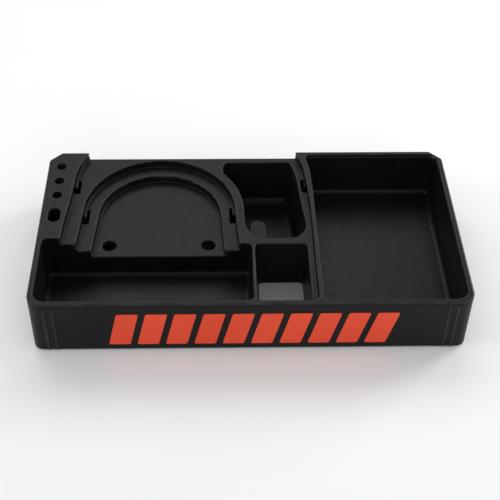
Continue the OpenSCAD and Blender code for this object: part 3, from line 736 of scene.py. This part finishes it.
kx = HW - 25
for side in ("left", "right"):
    sb = side + "_slide_bolt"
    add(build_bolt(side), sb, side + "_bolt", "bolt_steel")
    add(build_pull(side), sb, side + "_finger_pull", "pull_plastic")
    add(build_rod(side), sb, side + "_spring_rod", "rod_steel")
    add(build_keeper(side), "tray", side + "_keeper", "plate_steel")
    sgn = -1 if side == "left" else 1
    add(field_object(side + "_keeper_screw_pair", screw_field(2.4, 3.1, 1.8, 1.4, 7.4), 0.01,
                     [at(sgn * kx, BY - 20), at(sgn * kx, BY + 20)]), "tray", side + "_keeper_screws", "screw_steel")
    coil = add(build_spring(side), "tray", side + "_spring", "spring_steel")
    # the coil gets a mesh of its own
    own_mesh(coil)
add(field_object("cover_screw_set", screw_field(4.0, 2.8, 1.6, 1.1, 6.5), 0.01, [at(px, py) for px, py in COVER_HOLES]),
    "tray", "magnet_cover_screws", "screw_steel")
add(build_cover(), "tray", "magnet_cover", "plate_steel")
add(build_magnets(), "tray", "bin_magnets", "magnet")
add(build_feet(), "tray", "rubber_feet", "foot_rubber")
PARTS += [(tray, "tray_plastic"), (badge, "badge_plastic")]


# ------------------------------------------------------------------ materials
class Mat:
    def __init__(self, name):
        self.m = bpy.data.materials.new(name)
        self.m.use_nodes = True
        self.t = self.m.node_tree
        self.b = self.t.nodes["Principled BSDF"]
        tc = self.t.nodes.new("ShaderNodeTexCoord")
        self.obj = tc.outputs["Object"]

    def n(self, kind, **kw):
        nd = self.t.nodes.new(kind)
        for k, v in kw.items():
            setattr(nd, k, v)
        return nd

    def link(self, a, b):
        self.t.links.new(a, b)

    def noise(self, scale, detail=4.0, rough=0.55, stretch=None, dist=0.0):
        src = self.obj
        if stretch:
            mp = self.n("ShaderNodeMapping")
            mp.inputs["Scale"].default_value = stretch
            self.link(src, mp.inputs["Vector"])
            src = mp.outputs["Vector"]
        nz = self.n("ShaderNodeTexNoise")
        nz.inputs["Scale"].default_value = scale
        nz.inputs["Detail"].default_value = detail
        nz.inputs["Roughness"].default_value = rough
        nz.inputs["Distortion"].default_value = dist
        self.link(src, nz.inputs["Vector"])
        return nz.outputs["Fac"]

    def ramp(self, fac, lo, hi, a=0.0, b=1.0):
        mr = self.n("ShaderNodeMapRange")
        mr.inputs["From Min"].default_value = lo
        mr.inputs["From Max"].default_value = hi
        mr.inputs["To Min"].default_value = a
        mr.inputs["To Max"].default_value = b
        self.link(fac, mr.inputs["Value"])
        return mr.outputs["Result"]

    def math(self, op, a, b=None):
        nd = self.n("ShaderNodeMath", operation=op)
        for i, v in enumerate((a, b)):
            if v is None:
                continue
            if hasattr(v, "is_linked") or hasattr(v, "links"):
                self.link(v, nd.inputs[i])
            else:
                nd.inputs[i].default_value = v
        return nd.outputs[0]

    def mix(self, fac, a, b):
        nd = self.n("ShaderNodeMix", data_type="RGBA")
        for sock, v in ((nd.inputs[0], fac), (nd.inputs[6], a), (nd.inputs[7], b)):
            if isinstance(v, (tuple, list)):
                sock.default_value = tuple(v) + ((1.0,) if len(v) == 3 else ())
            elif isinstance(v, (int, float)):
                sock.default_value = v
            else:
                self.link(v, sock)
        return nd.outputs[2]

    def bump(self, h, strength, dist, normal=None):
        nd = self.n("ShaderNodeBump")
        nd.inputs["Strength"].default_value = strength
        nd.inputs["Distance"].default_value = dist
        self.link(h, nd.inputs["Height"])
        if normal is not None:
            self.link(normal, nd.inputs["Normal"])
        return nd.outputs["Normal"]

    def attr(self, name):
        nd = self.n("ShaderNodeAttribute")
        nd.attribute_name = name
        return nd.outputs["Fac"]

    def up(self):
        g = self.n("ShaderNodeNewGeometry")
        s = self.n("ShaderNodeSeparateXYZ")
        self.link(g.outputs["Normal"], s.inputs[0])
        return s.outputs[2]

    def out(self, color=None, rough=None, normal=None, metallic=0.0, spec=0.5, coat=0.0):
        b = self.b
        b.inputs["Metallic"].default_value = metallic
        b.inputs["Specular IOR Level"].default_value = spec
        b.inputs["Coat Weight"].default_value = coat
        for key, v in (("Base Color", color), ("Roughness", rough)):
            if v is None:
                continue
            if isinstance(v, (int, float)):
                b.inputs[key].default_value = v
            elif isinstance(v, (tuple, list)):
                b.inputs[key].default_value = tuple(v) + (1.0,)
            else:
                self.link(v, b.inputs[key])
        if normal is not None:
            self.link(normal, b.inputs["Normal"])
        return self.m


def moulded(name, dark, mid, worn_and_edge_highlight, rough, grain=0.35, edge_lighten=0.5, spec=0.22):
    m = Mat(name)
    big = m.noise(9.0, 3.0, 0.5)
    small = m.noise(160.0, 3.0, 0.6)
    col = m.mix(m.ramp(big, 0.35, 0.65), dark, mid)
    col = m.mix(m.ramp(small, 0.55, 0.8, 0.0, 0.1), col, worn_and_edge_highlight)
    # edges lightened towards the worn colour: partly real wear, partly a painted highlight for light catching the
    # rounded edges
    e = m.ramp(m.attr("edge"), 0.25, 0.9, 0.0, edge_lighten)
    brk = m.ramp(m.noise(55.0, 4.0, 0.65), 0.35, 0.65, 0.35, 1.0)
    col = m.mix(m.math("MULTIPLY", e, brk), col, worn_and_edge_highlight)
    scr = m.noise(18.0, 5.0, 0.7, (1.0, 14.0, 3.0), 0.4)
    r = m.math("ADD", m.ramp(small, 0.3, 0.7, rough - 0.05, rough + 0.05), m.ramp(scr, 0.62, 0.75, 0.0, -0.06))
    vo = m.n("ShaderNodeTexVoronoi", feature="SMOOTH_F1")
    vo.inputs["Scale"].default_value = 1400.0
    m.link(m.obj, vo.inputs["Vector"])
    nb = m.bump(vo.outputs["Distance"], grain, 0.00012)
    nb = m.bump(m.noise(2600.0, 2.0, 0.6), grain * 0.6, 0.00006, nb)
    nb = m.bump(big, 0.02, 0.002, nb)
    return m.out(col, r, nb, spec=spec)


def plated(name, dark, lightc, rough, stretch, scale=40.0, edge_lighten=0.4):
    m = Mat(name)
    brushed = m.noise(scale, 6.0, 0.7, stretch, 0.1)
    blotch = m.noise(60.0, 4.0, 0.6)
    col = m.mix(m.ramp(brushed, 0.3, 0.7), dark, lightc)
    col = m.mix(m.ramp(blotch, 0.5, 0.75, 0.0, 0.3), col, tuple(0.75 * v for v in dark))
    e = m.ramp(m.attr("edge"), 0.3, 1.2, 0.0, edge_lighten)
    col = m.mix(e, col, (0.86, 0.86, 0.86))
    r = m.math("ADD", m.ramp(brushed, 0.3, 0.7, rough - 0.08, rough + 0.08), m.ramp(blotch, 0.4, 0.7, 0.0, 0.08))
    nb = m.bump(brushed, 0.25, 0.00008)
    return m.out(col, r, nb, metallic=1.0)


def rubbery(name):
    m = Mat(name)
    sp = m.noise(900.0, 4.0, 0.7)
    col = m.mix(m.ramp(m.noise(70.0), 0.35, 0.65), (0.014, 0.014, 0.014), (0.03, 0.03, 0.029))
    col = m.mix(m.ramp(sp, 0.6, 0.75, 0.0, 0.3), col, (0.08, 0.078, 0.074))
    return m.out(col, m.ramp(sp, 0.3, 0.7, 0.78, 0.92), m.bump(sp, 0.4, 0.0001), spec=0.25)


MATS = {
    # the tray's light worn colour and strong edge amount paint highlight lines along its rounded edges
    "tray_plastic": moulded("tray_plastic", (0.0038, 0.0039, 0.0041), (0.0052, 0.0053, 0.0055), (0.052, 0.052, 0.053), 0.40, 0.3, 0.55, 0.15),
    "badge_plastic": moulded("badge_plastic", (0.70, 0.060, 0.022), (0.78, 0.074, 0.028), (0.88, 0.16, 0.08), 0.42, 0.18, 0.3),
    "pull_plastic": moulded("pull_plastic", (0.70, 0.060, 0.022), (0.78, 0.074, 0.028), (0.88, 0.16, 0.08), 0.42, 0.3, 0.4),
    "bolt_steel": plated("bolt_steel", (0.50, 0.50, 0.50), (0.66, 0.66, 0.65), 0.30, (1.0, 22.0, 4.0)),
    "rod_steel": plated("rod_steel", (0.55, 0.55, 0.56), (0.70, 0.70, 0.70), 0.22, (1.0, 30.0, 30.0), 60.0),
    "plate_steel": plated("plate_steel", (0.48, 0.49, 0.50), (0.62, 0.63, 0.64), 0.34, (18.0, 1.0, 4.0)),
    "screw_steel": plated("screw_steel", (0.52, 0.50, 0.44), (0.70, 0.68, 0.60), 0.28, (1.0, 1.0, 6.0), 200.0),
    "spring_steel": plated("spring_steel", (0.40, 0.40, 0.42), (0.60, 0.60, 0.62), 0.25, (1.0, 1.0, 1.0), 400.0),
    "magnet": moulded("magnet", (0.030, 0.030, 0.033), (0.045, 0.045, 0.048), (0.11, 0.11, 0.11), 0.55, 0.6, 0.5),
    "foot_rubber": rubbery("foot_rubber"),
}
for o, s in PARTS:
    o.data.materials.clear()
    o.data.materials.append(MATS[s])

# ------------------------------------------------------------------ studio
fm = Mat("floor_pale")
fcol = fm.mix(fm.ramp(fm.noise(3.0), 0.3, 0.7), (0.80, 0.80, 0.80), (0.83, 0.83, 0.825))
fm.out(fcol, 0.6, spec=0.2)
bpy.ops.mesh.primitive_plane_add(size=14, location=(0, 0, -0.0004))
floor = bpy.context.object
floor.name = "floor"
floor.data.materials.append(fm.m)

world = bpy.data.worlds.new("studio")
bpy.context.scene.world = world
world.use_nodes = True
bg = world.node_tree.nodes["Background"]
bg.inputs[0].default_value = (0.95, 0.97, 1.0, 1)
bg.inputs[1].default_value = 0.5


def area(name, loc, target, size, power, color=(1, 1, 1)):
    l = bpy.data.lights.new(name, "AREA")
    l.shape = "RECTANGLE"
    l.size, l.size_y = size
    l.energy = power
    l.color = color
    o = link(bpy.data.objects.new(name, l))
    o.location = loc
    d = np.array(target, float) - np.array(loc, float)
    from mathutils import Vector
    o.rotation_euler = Vector(d).to_track_quat("-Z", "Y").to_euler()
    return o


area("key_top_back", (-0.2, 0.85, 1.05), (0, 0, 0.03), (1.5, 0.7), 7.8)
area("fill_left", (-1.2, -0.3, 0.8), (0, 0, 0.03), (0.7, 0.9), 5)
area("fill_right", (1.2, -0.2, 0.8), (0, 0, 0.03), (0.6, 0.9), 3)
area("front_soft", (0.1, -1.3, 0.7), (0, 0, 0.03), (1.4, 0.6), 4.8)
area("edge_right_back", (1.25, 0.7, 0.6), (0, 0, 0.05), (0.55, 0.6), 11)

# ------------------------------------------------------------------ camera
e, yaw, roll, foc, zoom = math.radians(47.01), math.radians(1.94), math.radians(1.01), 647.64, 1.5
fwd = np.array([math.sin(yaw) * math.cos(e), math.cos(yaw) * math.cos(e), -math.sin(e)])
right = np.array([math.cos(yaw), -math.sin(yaw), 0.0])
upv = np.cross(right, fwd)
r2 = math.cos(roll) * right + math.sin(roll) * upv
u2 = -math.sin(roll) * right + math.cos(roll) * upv
cd = bpy.data.cameras.new("camera")
cam = link(bpy.data.objects.new("camera", cd))
from mathutils import Matrix
M = Matrix(((r2[0], u2[0], -fwd[0], -0.02661), (r2[1], u2[1], -fwd[1], -0.63940), (r2[2], u2[2], -fwd[2], 0.66916), (0, 0, 0, 1)))
cam.matrix_world = M
cd.sensor_width = 36
cd.lens = 36 * foc * zoom / 500
cd.shift_x = 5 / 500 * zoom
cd.shift_y = 20 / 500 * zoom
cd.clip_start = 0.01
bpy.context.scene.camera = cam
bpy.context.scene.view_settings.view_transform = "Standard"
bpy.context.scene.view_settings.exposure = 0.0

bpy.context.view_layer.update()
